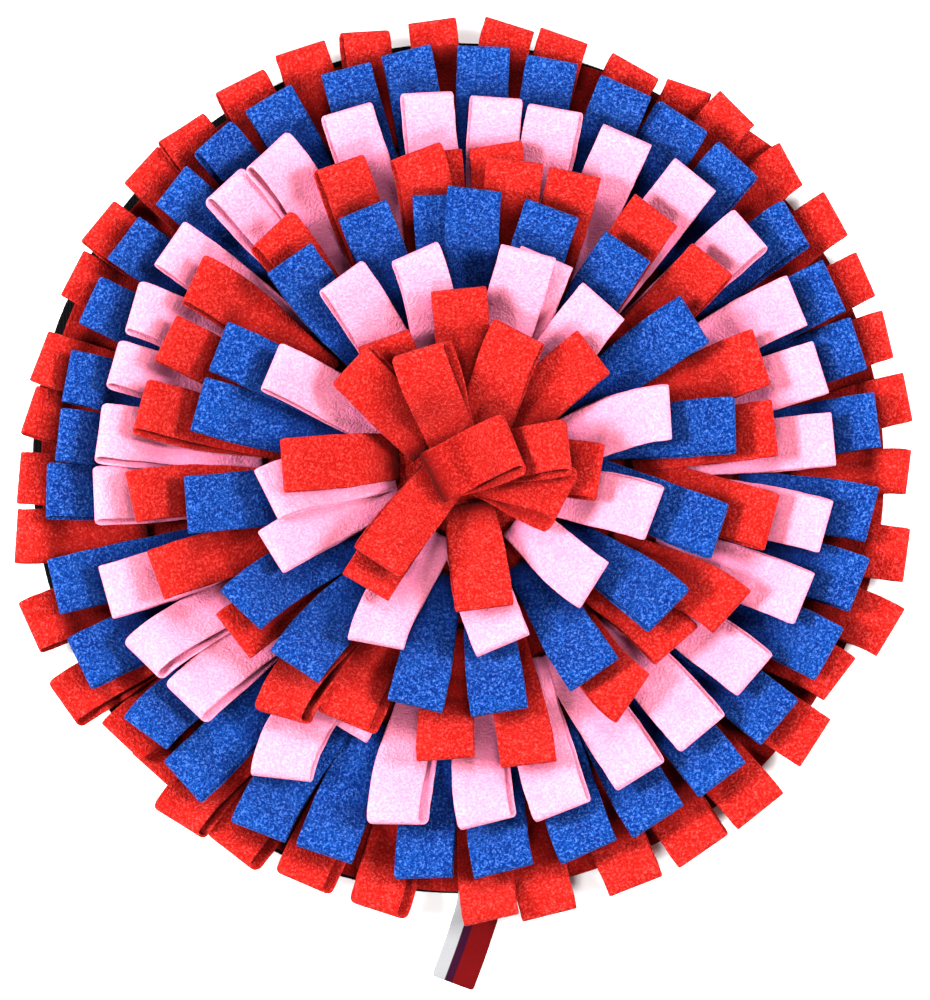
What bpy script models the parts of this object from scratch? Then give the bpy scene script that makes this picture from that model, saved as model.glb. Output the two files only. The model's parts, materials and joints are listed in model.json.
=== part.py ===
"""Snuffle mat: a round cloth base carrying rings of folded fleece loops.

Every loop is a fleece strip folded double, with both ends caught in a round
seam.  The rings overlap like roof tiles: each loop starts on the base at its
own seam and climbs over the seams of the rings outside it.  A rosette of
loops closes the middle, and a short ribbon label lies out past the edge.

Run with: blender --background --python part.py
Units: metres, +Z up.  The origin is the middle of the backing's underside.
"""
import math
from collections import namedtuple

import bmesh
import bpy
import numpy as np

MM = 0.001

# ---------------------------------------------------------------- base cloths
BACKING_RADIUS = 239.0          # mm, like every size below
BACKING_THICKNESS = 2.0
GROUND_RADIUS = 234.0
GROUND_THICKNESS = 2.0
PIECE_GAP = 0.3                 # left between pieces that touch
DISC_SIDES = 96
DECK = BACKING_THICKNESS + PIECE_GAP + GROUND_THICKNESS   # top of the ground cloth

# -------------------------------------------------------------- fleece strips
CLOTH = 1.5                     # thickness of the fleece
TUFT_CENTRE = (5.6, 1.7)        # the rings are sewn a little off the disc's middle
LOOP_FLOOR = DECK + 2 * PIECE_GAP   # underside of a loop where it leaves its seam
SLAB = 8.0                      # height that one ring of loops takes up
LOOP_THICKNESS = 7.2            # over both layers of a loop, at its fold
ROOT_THICKNESS = 3.4            # over both layers of a loop, at its seam
FOLD_DEPTH = 2.2                # length over which a fold rounds off
FOLD_FLAT = 1.0                 # half the upright part of a fold
SIDE_ROOM = 0.8                 # left between neighbours in a ring
NARROWEST = 2.4                 # half width below which no strip is gathered
ROOT_TUCK = 2.0                 # length of a strip's ends inside the seam tape
TAPE_WIDTH = 4.0                # seam tape, measured along the radius
EVENNESS = 0.5                  # how far the seams even out the loops' spacing
LATEST_BEND = 0.8               # a short loop bows before its fold

# Outer loops rise over the label and droop past the base's edge.
EDGE_RADII = (182.0, 202.0, 244.0, 264.0)
EDGE_RISES = (0.0, 2.0, 2.0, -0.5)

# A loop fills its ring's slab, or shares it with a neighbour that crosses it.
WHOLE, UNDER, OVER = "whole", "under", "over"
LEVELS = {
    WHOLE: (0.0, LOOP_THICKNESS),
    UNDER: (0.0, 3.4),
    OVER: (3.75, 7.05),
}

# bearing: direction of the fold's middle, degrees anticlockwise from +X
# reach:   from the tufts' centre to the fold, mm
# slant:   how much farther the fold reaches at its anticlockwise corner, mm
# turn:    how far the lower layer lies anticlockwise of the upper, degrees
# level:   WHOLE, UNDER or OVER
Loop = namedtuple("Loop", "bearing reach slant turn level", defaults=(0.0, 0.0, WHOLE))

OUTER_RED = (
    (358.5, 250, 3), (8.8, 250, -1), (17.3, 247, 2), (25.6, 247, 1), (34.4, 250, 1),
    (42.9, 248, 7), (49.9, 247, 0, 0, UNDER), (52.9, 252, 2, 0, OVER), (59.8, 247, -4),
    (67.1, 244, 3), (77.2, 247, 2), (84.4, 249, 5), (94.3, 250, -1), (103.3, 250, 4, 1.5),
    (111.7, 252, 2), (120.5, 251, 2), (130.3, 248, 4, 1.0), (137.3, 249, 0), (146.5, 248, 4),
    (154.1, 246, 1), (165.7, 247, 2), (172.9, 248, 5, 1.0), (181.6, 251, 2), (188.8, 256, 5),
    (200.1, 261, 3, 1.5), (210.3, 262, -1, 1.5), (218.7, 249, -3), (224.2, 245, -2),
    (230.5, 258, -3, 1.0), (238.2, 254, 3, 1.5), (248.5, 251, 2, 1.5), (258.4, 254, 3, 1.5),
    (272.9, 255, -6), (280.5, 256, -2), (291.9, 254, -1, 1.0), (301.4, 254, -2), (310.3, 255, 1),
    (321.8, 249, -3), (330.1, 241, 2), (338.4, 255, 4), (348.2, 252, -2),
)
OUTER_BLUE = (
    (6.2, 231, 0), (17.3, 230, -1), (26.2, 230, 1), (36.6, 229, 2), (48.6, 230, -1),
    (57.8, 230, -1), (67.3, 232, 3), (78.3, 232, -2), (87.8, 235, 0), (98.4, 235, -2),
    (107.1, 233, 0), (118.4, 235, 0), (128.1, 233, -3, 1.5), (136.8, 229, -3), (146.4, 232, 1),
    (156.4, 231, -2), (167.6, 230, 0), (175.8, 230, 0), (183.4, 235, 3), (196.6, 242, 0),
    (207.3, 244, 0), (219.6, 234, -7), (228.0, 238, 3), (240.4, 237, -4), (250.0, 232, -3),
    (263.9, 232, -5), (275.1, 229, -4), (287.7, 227, -3), (298.0, 227, -1), (309.0, 227, 1),
    (320.6, 227, 0), (332.3, 229, 0), (343.1, 230, 1), (353.1, 229, 2),
)
OUTER_PINK = (
    (4.0, 206, 0), (15.5, 207, -1), (26.4, 208, 2), (39.5, 208, 0), (52.0, 208, 1),
    (64.3, 207, -1), (75.2, 207, 0), (85.5, 208, 2), (96.3, 211, 2), (109.1, 212, 0),
    (122.0, 211, -5, 1.5), (130.8, 209, 0, 1.5), (143.1, 210, -2), (154.6, 208, -4, 1.5),
    (164.4, 207, 2, 1.5), (174.6, 209, 0, 1.5), (184.3, 210, 1, 1.5), (199.5, 215, 0),
    (210.9, 214, -5, 1.5), (220.1, 208, -4, 1.5), (239.6, 204, -11, 0, OVER),
    (245.5, 168, 3, 0, UNDER), (258.5, 205, -2, 1.5), (273.6, 202, -4, 1.5), (285.8, 202, -4),
    (299.6, 201, -2), (311.4, 200, 1), (324.2, 201, 2), (338.5, 204, 0), (350.4, 205, 2),
)
INNER_RED = (
    (7.0, 177, 0), (20.6, 178, 2), (39.8, 178, -3), (53.4, 179, -1), (69.1, 176, -1),
    (81.5, 177, 2, 0, OVER), (84.9, 179, 0, 0, UNDER), (96.6, 178, 0, 0, UNDER),
    (99.2, 177, -6, 0, OVER), (113.3, 184, 3), (129.2, 170, 4, 1.5), (145.6, 185, -4),
    (157.0, 183, -2), (169.3, 187, 3), (185.4, 188, -1), (200.2, 185, 1), (216.4, 161, -3),
    (233.0, 175, -12, 1.5), (243.9, 159, -2, 1.5), (265.7, 165, -5), (281.8, 171, 2),
    (305.8, 161, -9), (319.4, 156, 0), (331.5, 170, 6), (349.9, 176, 2),
)
INNER_BLUE = (
    (8.5, 152, 3), (32.9, 152, -1), (53.7, 152, -2), (71.6, 152, 0), (88.5, 154, 3, 0, OVER),
    (96.8, 153, -1, 0, UNDER), (112.6, 156, 0), (130.7, 154, 3), (154.4, 155, -1),
    (167.0, 155, 2), (188.0, 159, 2), (212.8, 150, -6), (229.6, 148, -3), (257.9, 138, 1),
    (277.9, 139, -1), (301.3, 139, -1), (324.1, 140, 1), (345.3, 147, 2),
)
INNER_PINK = (
    (14.3, 118, 4), (50.3, 121, 0), (69.4, 126, 0, 0, UNDER), (73.5, 126, 0, 0, OVER),
    (104.4, 124, -5), (123.8, 128, -1), (153.8, 125, -2), (189.0, 116, -6), (203.3, 122, -4),
    (243.6, 113, -8), (281.8, 105, -5), (316.9, 99, -4), (345.4, 110, 2),
)
ROSETTE_LOWER = (
    (42.0, 94, 0), (92.5, 98, 0), (123.0, 84, 0), (180.0, 103, 0), (230.0, 88, 0),
    (277.0, 81, 0), (357.5, 74, 0),
)
ROSETTE_UPPER = (
    (13.0, 58, 0), (69.0, 79, 0), (113.0, 70, 0), (140.0, 87, 0), (228.0, 74, 0), (341.0, 60, 0),
)

# seam:  radius of the round seam that the ring's loops hang from
# strip: width of its strips
# bend:  radius at which its loops level out or bow
Ring = namedtuple("Ring", "name colour seam strip bend loops")
RINGS = (
    Ring("ring_1_red", "red", 182.0, 27.5, 228.0, OUTER_RED),
    Ring("ring_2_blue", "blue", 152.0, 29.0, 184.0, OUTER_BLUE),
    Ring("ring_3_pink", "pink", 121.0, 30.0, 184.0, OUTER_PINK),
    Ring("ring_4_red", "red", 91.0, 32.0, 132.0, INNER_RED),
    Ring("ring_5_blue", "blue", 62.0, 31.0, 104.0, INNER_BLUE),
    Ring("ring_6_pink", "pink", 34.0, 31.0, 72.0, INNER_PINK),
)
POST_RADIUS = 8.0
POST_SIDES = 16
ROSETTE = (
    Ring("rosette_lower", "red", POST_RADIUS, 31.0, 46.0, ROSETTE_LOWER),
    Ring("rosette_upper", "red", POST_RADIUS, 31.0, 40.0, ROSETTE_UPPER),
)
CROWN_BEARING = 27.0            # the loop on top lies across the middle
CROWN_BACK = 19.0               # its open end, behind the middle
CROWN_FRONT = 31.0              # its fold, before the middle
CROWN_WIDTH = 29.0
CROWN_STOREY = 2.85             # in slabs above the loops' floor

# The ribbon label: y and z along its middle line, x of that line.
LABEL_WIDTH = 25.0
LABEL_THICKNESS = 1.0
LabelPoint = namedtuple("LabelPoint", "x y z")
LABEL_LINE = (
    LabelPoint(14.5, -222.0, 5.1),
    LabelPoint(13.5, -237.0, 5.3),
    LabelPoint(12.6, -243.5, 4.4),
    LabelPoint(11.4, -249.5, 1.5),
    LabelPoint(10.0, -255.0, 0.5),
    LabelPoint(4.5, -272.0, 0.5),
    LabelPoint(-3.6, -288.0, 0.5),
)

# colour (linear RGB) and roughness of each cloth
Finish = namedtuple("Finish", "colour roughness")
FINISHES = {
    "red": Finish((0.78, 0.035, 0.015), 0.95),
    "blue": Finish((0.012, 0.105, 0.56), 0.95),
    "pink": Finish((0.90, 0.55, 0.76), 0.95),
    "black": Finish((0.012, 0.012, 0.015), 0.85),
    "label": Finish((0.33, 0.03, 0.05), 0.45),
}


def clear_scene():
    for obj in list(bpy.data.objects):
        bpy.data.objects.remove(obj, do_unlink=True)


def new_collection(name):
    collection = bpy.data.collections.new(name)
    bpy.context.scene.collection.children.link(collection)
    return collection


def make_materials():
    materials = {}
    for name, finish in FINISHES.items():
        material = bpy.data.materials.new(name + " cloth")
        material.use_nodes = True
        shader = material.node_tree.nodes["Principled BSDF"]
        shader.inputs["Base Color"].default_value = (*finish.colour, 1.0)
        shader.inputs["Roughness"].default_value = finish.roughness
        materials[name] = material
    return materials


def new_object(name, mesh, material, collection):
    obj = bpy.data.objects.new(name, mesh)
    mesh.materials.append(material)
    collection.objects.link(obj)
    return obj


def finish_mesh(shape, name):
    mesh = bpy.data.meshes.new(name)
    shape.to_mesh(mesh)
    shape.free()
    return mesh


def make_disc(name, radius, bottom, thickness, material, collection):
    """A flat round cloth, as a low cylinder."""
    shape = bmesh.new()
    bmesh.ops.create_cone(
        shape, cap_ends=True, segments=DISC_SIDES,
        radius1=radius * MM, radius2=radius * MM, depth=thickness * MM,
    )
    obj = new_object(name, finish_mesh(shape, name), material, collection)
    obj.location.z = (bottom + thickness / 2) * MM
    return obj


def ring_place(bearing, radius, height):
    """A point given by bearing and radius about the tufts' centre, in metres."""
    angle = math.radians(bearing)
    x = TUFT_CENTRE[0] + radius * math.cos(angle)
    y = TUFT_CENTRE[1] + radius * math.sin(angle)
    return (x * MM, y * MM, height * MM)


def slab_floor(seam, radius):
    """Height at which the loops of the ring sewn at this seam run, at a radius."""
    crossed = sorted(ring.seam for ring in RINGS if ring.seam >= seam)
    if crossed[0] > seam:
        crossed.insert(0, seam)
    climbed = np.interp(radius, crossed, range(len(crossed)))
    rise = np.interp(radius, EDGE_RADII, EDGE_RISES)
    return LOOP_FLOOR + SLAB * float(climbed) + float(rise)


def root_bearings(loops):
    """Bearings at the seam: halfway between even spacing and the folds' own."""
    step = 360.0 / len(loops)
    start = sum(loop.bearing - step * i for i, loop in enumerate(loops)) / len(loops)
    return [
        loop.bearing + EVENNESS * (start + step * i - loop.bearing)
        for i, loop in enumerate(loops)
    ]


def clashes(one, other):
    return {one.level, other.level} != {UNDER, OVER}


def half_width(ring, loops, roots, index, side, along, radius):
    """Half of a strip's width on one side, after sharing room with its neighbour."""
    loop = loops[index]
    own = roots[index] + (loop.bearing - roots[index]) * along
    crossing = radius > ring.bend + SIDE_ROOM
    room = ring.strip
    for step in (1, 2):
        place = index + side * step
        turns, other_index = divmod(place, len(loops))
        other = loops[other_index]
        if crossing and not clashes(loop, other):
            continue
        there = roots[other_index] + (other.bearing - roots[other_index]) * along + 360.0 * turns
        apart = math.radians(abs(there - own)) * radius
        twist = math.radians(max(0.0, side * (loop.turn - other.turn))) * radius
        room = min(room, apart - twist - SIDE_ROOM)
        break
    return max(NARROWEST, room / 2)


def loop_stations(ring, loop):
    """(along, inset, height, layer): the strip's way from seam to fold and back.

    along is 0 at the seam and 1 at the fold, inset is taken off the reach in mm,
    height is that of the cloth's middle over the ring's slab, and layer is 1
    for the lower layer, which may lie turned, and 0 for the upper.
    """
    low, high = LEVELS[loop.level]
    half = CLOTH / 2
    bend = min(LATEST_BEND, (ring.bend - ring.seam) / (loop.reach - ring.seam))
    middle = (low + high) / 2
    upper_bend = high - half
    if loop.level == WHOLE:
        upper_bend = high - half - 0.25 * (high - ROOT_THICKNESS)
    path = [(0.0, ROOT_TUCK, half, 1), (bend, 0.0, low + half, 1)]
    if loop.level == WHOLE:
        path += [
            (1.0, half + FOLD_DEPTH, low + half, 1),
            (1.0, half, middle - FOLD_FLAT, 0.5),
            (1.0, half, middle + FOLD_FLAT, 0.5),
            (1.0, half + FOLD_DEPTH, high - half, 0),
        ]
    else:
        path += [(1.0, half, low + half, 1), (1.0, half, high - half, 0)]
    path += [(bend, 0.0, upper_bend, 0), (0.0, ROOT_TUCK, ROOT_THICKNESS - half, 0)]
    return path


def add_strip(shape, corners):
    """An open strip, one face wide, through pairs of corners."""
    grid = bmesh.ops.create_grid(
        shape, x_segments=1, y_segments=len(corners) - 1, size=0.5,
    )
    verts = sorted(grid["verts"], key=lambda v: (round(v.co.y, 4), v.co.x))
    for row, pair in enumerate(corners):
        verts[2 * row].co = pair[0]
        verts[2 * row + 1].co = pair[1]


def loop_corners(ring, loops, roots, index, storey):
    """Pairs of corners, clockwise side first, along the folded strip of one loop."""
    loop = loops[index]
    corners = []
    for along, inset, height, layer in loop_stations(ring, loop):
        pair = []
        for side in (-1, 1):
            reach = loop.reach + side * loop.slant / 2
            radius = ring.seam + (reach - ring.seam) * along - inset
            plain_radius = max(radius, ring.seam)
            bearing = roots[index] + (loop.bearing - roots[index]) * along
            half = half_width(ring, loops, roots, index, side, along, plain_radius)
            bearing += side * math.degrees(half / plain_radius)
            bearing += loop.turn * layer * along
            floor = slab_floor(ring.seam, plain_radius) + storey * SLAB
            pair.append(ring_place(bearing, radius, floor + height))
        corners.append(pair)
    return corners


def make_loops(ring, storey, material, cutters):
    """All loops of one ring as open strips, thickened, to be joined to their tape."""
    loops = [Loop(*row) for row in ring.loops]
    loops.sort(key=lambda loop: loop.bearing)
    roots = root_bearings(loops)
    shape = bmesh.new()
    for index in range(len(loops)):
        add_strip(shape, loop_corners(ring, loops, roots, index, storey))
    bmesh.ops.recalc_face_normals(shape, faces=shape.faces)
    name = ring.name + "_loops"
    obj = new_object(name, finish_mesh(shape, name), material, cutters)
    thicken(obj, CLOTH)
    mark_as_cutter(obj)
    return obj


def thicken(obj, thickness):
    solidify = obj.modifiers.new("cloth thickness", "SOLIDIFY")
    solidify.thickness = thickness * MM
    solidify.offset = 0.0
    solidify.use_even_offset = True


def mark_as_cutter(obj):
    obj.hide_render = True
    obj.display_type = "WIRE"


def join(obj, other):
    boolean = obj.modifiers.new("join " + other.name, "BOOLEAN")
    boolean.operation = "UNION"
    boolean.solver = "EXACT"
    boolean.object = other


def make_tape(ring):
    """The seam tape that holds a ring's loops: a low ring with a square section."""
    shape = bmesh.new()
    sides = max(24, len(ring.loops))
    outer = ring.seam / math.cos(math.pi / sides)
    inner = ring.seam - TAPE_WIDTH
    bottom = DECK + PIECE_GAP
    top = LOOP_FLOOR + ROOT_THICKNESS + PIECE_GAP
    bmesh.ops.create_circle(shape, cap_ends=False, segments=sides, radius=outer * MM)
    edges = list(shape.edges)
    inset = bmesh.ops.extrude_edge_only(shape, edges=edges)
    inner_verts = [item for item in inset["geom"] if isinstance(item, bmesh.types.BMVert)]
    bmesh.ops.scale(shape, verts=inner_verts, vec=(inner / outer, inner / outer, 1.0))
    lift = bmesh.ops.extrude_face_region(shape, geom=list(shape.faces))
    top_verts = [item for item in lift["geom"] if isinstance(item, bmesh.types.BMVert)]
    bmesh.ops.translate(shape, verts=top_verts, vec=(0.0, 0.0, (top - bottom) * MM))
    bmesh.ops.translate(
        shape, verts=shape.verts,
        vec=(TUFT_CENTRE[0] * MM, TUFT_CENTRE[1] * MM, bottom * MM),
    )
    bmesh.ops.recalc_face_normals(shape, faces=shape.faces)
    if shape.calc_volume(signed=True) < 0.0:
        bmesh.ops.reverse_faces(shape, faces=shape.faces)
    return finish_mesh(shape, ring.name)


def make_ring(ring, materials, parts, cutters):
    tape = new_object(ring.name, make_tape(ring), materials[ring.colour], parts)
    loops = make_loops(ring, 0, materials[ring.colour], cutters)
    join(tape, loops)


def make_post(name, material, parts):
    """The rosette's middle, which all its loops are gathered into."""
    bottom = DECK + PIECE_GAP
    top = LOOP_FLOOR + CROWN_STOREY * SLAB + CLOTH / 2
    shape = bmesh.new()
    bmesh.ops.create_cone(
        shape, cap_ends=True, segments=POST_SIDES,
        radius1=POST_RADIUS * MM, radius2=POST_RADIUS * MM, depth=(top - bottom) * MM,
    )
    bmesh.ops.translate(
        shape, verts=shape.verts,
        vec=(TUFT_CENTRE[0] * MM, TUFT_CENTRE[1] * MM, (top + bottom) / 2 * MM),
    )
    return new_object(name, finish_mesh(shape, name), material, parts)


def make_crown(material, cutters):
    """The loop lying across the top of the rosette."""
    floor = LOOP_FLOOR + CROWN_STOREY * SLAB
    half = CLOTH / 2
    high = LOOP_THICKNESS - half
    profile = (
        (-CROWN_BACK, half),
        (CROWN_FRONT - half - FOLD_DEPTH, half),
        (CROWN_FRONT - half, LOOP_THICKNESS / 2 - FOLD_FLAT),
        (CROWN_FRONT - half, LOOP_THICKNESS / 2 + FOLD_FLAT),
        (CROWN_FRONT - half - FOLD_DEPTH, high),
        (0.0, high + half),
        (-CROWN_BACK, CLOTH + half + PIECE_GAP),
    )
    angle = math.radians(CROWN_BEARING)
    corners = []
    for run, height in profile:
        pair = []
        for side in (-1, 1):
            across = side * CROWN_WIDTH / 2
            x = TUFT_CENTRE[0] + run * math.cos(angle) - across * math.sin(angle)
            y = TUFT_CENTRE[1] + run * math.sin(angle) + across * math.cos(angle)
            pair.append((x * MM, y * MM, (floor + height) * MM))
        corners.append(pair)
    shape = bmesh.new()
    add_strip(shape, corners)
    bmesh.ops.recalc_face_normals(shape, faces=shape.faces)
    obj = new_object("crown_loop", finish_mesh(shape, "crown_loop"), material, cutters)
    thicken(obj, CLOTH)
    mark_as_cutter(obj)
    return obj


def make_rosette(material, parts, cutters):
    post = make_post("rosette_red", material, parts)
    for storey, ring in enumerate(ROSETTE):
        join(post, make_loops(ring, storey, material, cutters))
    join(post, make_crown(material, cutters))


def make_label(material, parts):
    """A ribbon that comes from under the loops and lies down on the floor."""
    corners = []
    last = len(LABEL_LINE) - 1
    for index, point in enumerate(LABEL_LINE):
        before = LABEL_LINE[max(0, index - 1)]
        after = LABEL_LINE[min(last, index + 1)]
        run_x, run_y = after.x - before.x, after.y - before.y
        length = math.hypot(run_x, run_y)
        across_x, across_y = -run_y / length, run_x / length
        pair = []
        for side in (-1, 1):
            x = point.x + side * across_x * LABEL_WIDTH / 2
            y = point.y + side * across_y * LABEL_WIDTH / 2
            pair.append((x * MM, y * MM, point.z * MM))
        corners.append(pair)
    shape = bmesh.new()
    add_strip(shape, corners)
    bmesh.ops.recalc_face_normals(shape, faces=shape.faces)
    obj = new_object("label", finish_mesh(shape, "label"), material, parts)
    thicken(obj, LABEL_THICKNESS)


def main():
    clear_scene()
    parts = new_collection("snuffle mat")
    cutters = new_collection("shapes to join")
    materials = make_materials()
    make_disc("backing", BACKING_RADIUS, 0.0, BACKING_THICKNESS, materials["black"], parts)
    make_disc(
        "ground_cloth", GROUND_RADIUS, BACKING_THICKNESS + PIECE_GAP,
        GROUND_THICKNESS, materials["red"], parts,
    )
    for ring in RINGS:
        make_ring(ring, materials, parts, cutters)
    make_rosette(materials["red"], parts, cutters)
    make_label(materials["label"], parts)


main()
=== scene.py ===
"""Snuffle mat: rings of folded fleece loops on a round cloth base, with a ribbon label.

Each loop is a fleece strip folded double.  The loops are laid down one after
another, from the outer ring to the rosette, and each settles over what lies
under it.  Tables and lengths are in millimetres; meshes are in metres.
"""
import json
import math
import random
from collections import namedtuple

import bmesh
import bpy
import numpy as np
from bpy.props import FloatProperty, FloatVectorProperty, PointerProperty
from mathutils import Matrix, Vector, noise

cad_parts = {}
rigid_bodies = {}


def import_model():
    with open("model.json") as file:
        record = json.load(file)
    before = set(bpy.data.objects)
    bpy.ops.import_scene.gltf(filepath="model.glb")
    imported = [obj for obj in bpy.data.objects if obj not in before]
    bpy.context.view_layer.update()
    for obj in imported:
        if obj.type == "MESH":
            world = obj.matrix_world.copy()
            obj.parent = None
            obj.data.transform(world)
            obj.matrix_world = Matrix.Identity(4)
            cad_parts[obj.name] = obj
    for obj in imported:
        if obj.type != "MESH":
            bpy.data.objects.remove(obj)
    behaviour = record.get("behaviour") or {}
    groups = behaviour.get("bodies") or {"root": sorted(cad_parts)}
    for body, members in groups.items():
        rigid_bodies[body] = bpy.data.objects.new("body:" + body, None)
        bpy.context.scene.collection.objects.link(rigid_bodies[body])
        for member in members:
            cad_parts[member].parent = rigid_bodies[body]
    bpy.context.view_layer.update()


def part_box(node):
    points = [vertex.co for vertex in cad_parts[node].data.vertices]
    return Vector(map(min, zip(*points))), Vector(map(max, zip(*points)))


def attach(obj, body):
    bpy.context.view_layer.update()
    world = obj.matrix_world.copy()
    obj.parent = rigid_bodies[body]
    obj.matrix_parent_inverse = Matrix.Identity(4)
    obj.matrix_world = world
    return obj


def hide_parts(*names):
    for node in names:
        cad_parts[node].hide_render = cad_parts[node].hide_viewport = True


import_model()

bl_info = {
    "name": "Snuffle mat",
    "version": (1, 0, 0),
    "blender": (4, 5, 0),
    "location": "View3D > Sidebar > Snuffle mat",
    "description": "A round snuffle mat of folded fleece loops",
    "category": "Add Mesh",
}

MM = 0.001
TUFT_CENTRE = np.array((5.6, 1.7))      # the rings are sewn a little off the middle

# ------------------------------------------------------------ the base cloths
# growth: how far a cloth reaches past its CAD solid all round, mm
# shift:  how far it lies off the middle, mm
BaseCloth = namedtuple("BaseCloth", "node slot growth shift")
BASE_CLOTHS = (
    BaseCloth("backing", "backing_black", 0.0, (0.0, 0.0)),
    BaseCloth("ground_cloth", "fleece_red", 3.2, (3.2, -0.8)),
)
DISC_RINGS = 40         # rings of points on each side of a base cloth
DISC_SPOKES = 160
DISC_RAGGED = 0.002     # unevenness of its edge, as a share of its radius

# ------------------------------------------------------------------ the loops
UNDER, LEVEL, OVER = 0, 1, 2

# bearing: direction of the fold's middle, degrees anticlockwise from +X
# reach:   from the tufts' centre to the fold, mm
# slant:   how much farther the fold reaches at its anticlockwise corner, mm
# width:   of its strip, mm
# gape:    how far the lower layer shows on the anticlockwise side, mm
# level:   UNDER, LEVEL or OVER its neighbours in the ring
# swing:   how far its root lies off its usual place at the seam, degrees
Loop = namedtuple("Loop", "bearing reach slant width gape level swing",
                  defaults=(0.0, LEVEL, 0.0))

OUTER_RED = (
    (359.1, 247.6, 3.0, 25.0), (8.8, 250.0, -1.0, 27.7), (17.3, 247.0, 2.0, 27.4),
    (25.6, 248.0, 1.0, 27.1), (34.3, 250.4, 2.8, 28.1), (42.9, 248.0, 7.0, 27.2),
    (48.9, 245.8, -3.1, 27.3, 0, UNDER), (52.9, 250.9, 4.0, 27.4, 0, OVER),
    (59.6, 246.1, -5.6, 26.4), (67.1, 242.7, 3.7, 29.8), (77.2, 246.6, 3.4, 28.1),
    (84.4, 248.2, 6.4, 28.8), (94.5, 249.6, -1.7, 27.1), (103.0, 249.1, 4.6, 26.3, 2.5),
    (111.8, 251.6, 2.0, 29.2), (120.5, 249.9, 1.9, 29.9, 1), (130.1, 247.3, 3.6, 29.5, 1.5),
    (137.3, 248.3, -0.3, 28.1), (146.4, 248.0, 2.9, 28.8, 1), (154.0, 245.8, 0.7, 28.2),
    (165.6, 247.0, 3.4, 29.5), (172.6, 247.2, 5.7, 27.6, 1.5), (181.6, 251.0, 3.4, 29.1),
    (188.9, 255.5, 7.2, 30.6), (200.2, 261.9, -2.4, 29.6, 2), (210.3, 263.1, -2.6, 27.0, 4.5),
    (218.7, 247.9, -4.9, 30.9), (224.0, 246.4, -2.4, 29.2, 0, UNDER),
    (230.6, 258.0, -4.6, 29.5, 5), (238.0, 254.0, 3.0, 29.9, 6), (247.9, 251.7, 0.5, 28.4, 5.8),
    (258.0, 254.4, 3.0, 28.1, 5.8), (273.1, 255.0, -6.0, 31.2),
    (280.4, 256.4, -2.0, 31.4, 0, LEVEL, -1.5),
    (291.8, 254.4, 0.1, 31.7, 0.5), (301.4, 254.0, -2.0, 33.2, 1), (310.3, 254.8, 1.0, 33.1),
    (321.4, 249.8, -3.4, 32.1), (330.1, 241.0, 4.2, 30.0), (338.4, 255.4, 5.6, 31.2),
    (348.4, 251.6, -2.0, 30.4),
)
OUTER_BLUE = (
    (6.3, 230.6, -0.4, 30.9), (17.3, 229.1, -0.2, 30.4), (26.1, 228.4, 0.9, 31.4),
    (36.6, 228.6, 3.5, 28.1, -3), (48.6, 228.1, 0.8, 29.0, -1.2), (57.7, 229.0, 0.6, 30.0, 4),
    (67.2, 229.3, 0.8, 30.8), (78.1, 231.2, -0.6, 28.6), (87.7, 233.7, 0.0, 29.4),
    (98.4, 233.7, -2.7, 28.2), (107.0, 231.3, 1.4, 28.5), (118.4, 233.2, -1.5, 29.2, 0.5),
    (127.5, 231.7, -2.4, 25.6, 3), (136.6, 227.3, -2.3, 27.5), (146.5, 229.8, 1.3, 29.6),
    (156.3, 230.1, 0.9, 28.7), (167.4, 228.9, -1.1, 29.4), (175.7, 228.7, 0.7, 29.4),
    (183.3, 235.0, 2.3, 30.0, 1.5), (196.4, 240.7, 1.8, 31.2), (207.0, 243.4, 0.0, 30.6, 1.5),
    (219.8, 234.0, -7.8, 29.7, 0.5), (227.9, 238.0, 3.0, 30.3, 1.5),
    (240.3, 235.9, -4.8, 32.4, 0.5), (249.8, 232.0, -1.0, 32.8), (264.0, 232.4, -4.2, 32.2, 0.3),
    (275.2, 228.2, -5.6, 34.0), (287.5, 227.2, -4.3, 34.0), (298.2, 226.5, -3.1, 34.0),
    (309.1, 227.0, 1.4, 32.3, -1), (320.6, 226.6, 0.5, 32.6, -1),
    (332.5, 228.2, 1.3, 32.8, -1.2), (343.1, 229.5, 2.6, 31.2, -1),
    (353.0, 228.2, 4.0, 31.4, 0, LEVEL, 1.5),
)
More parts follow.
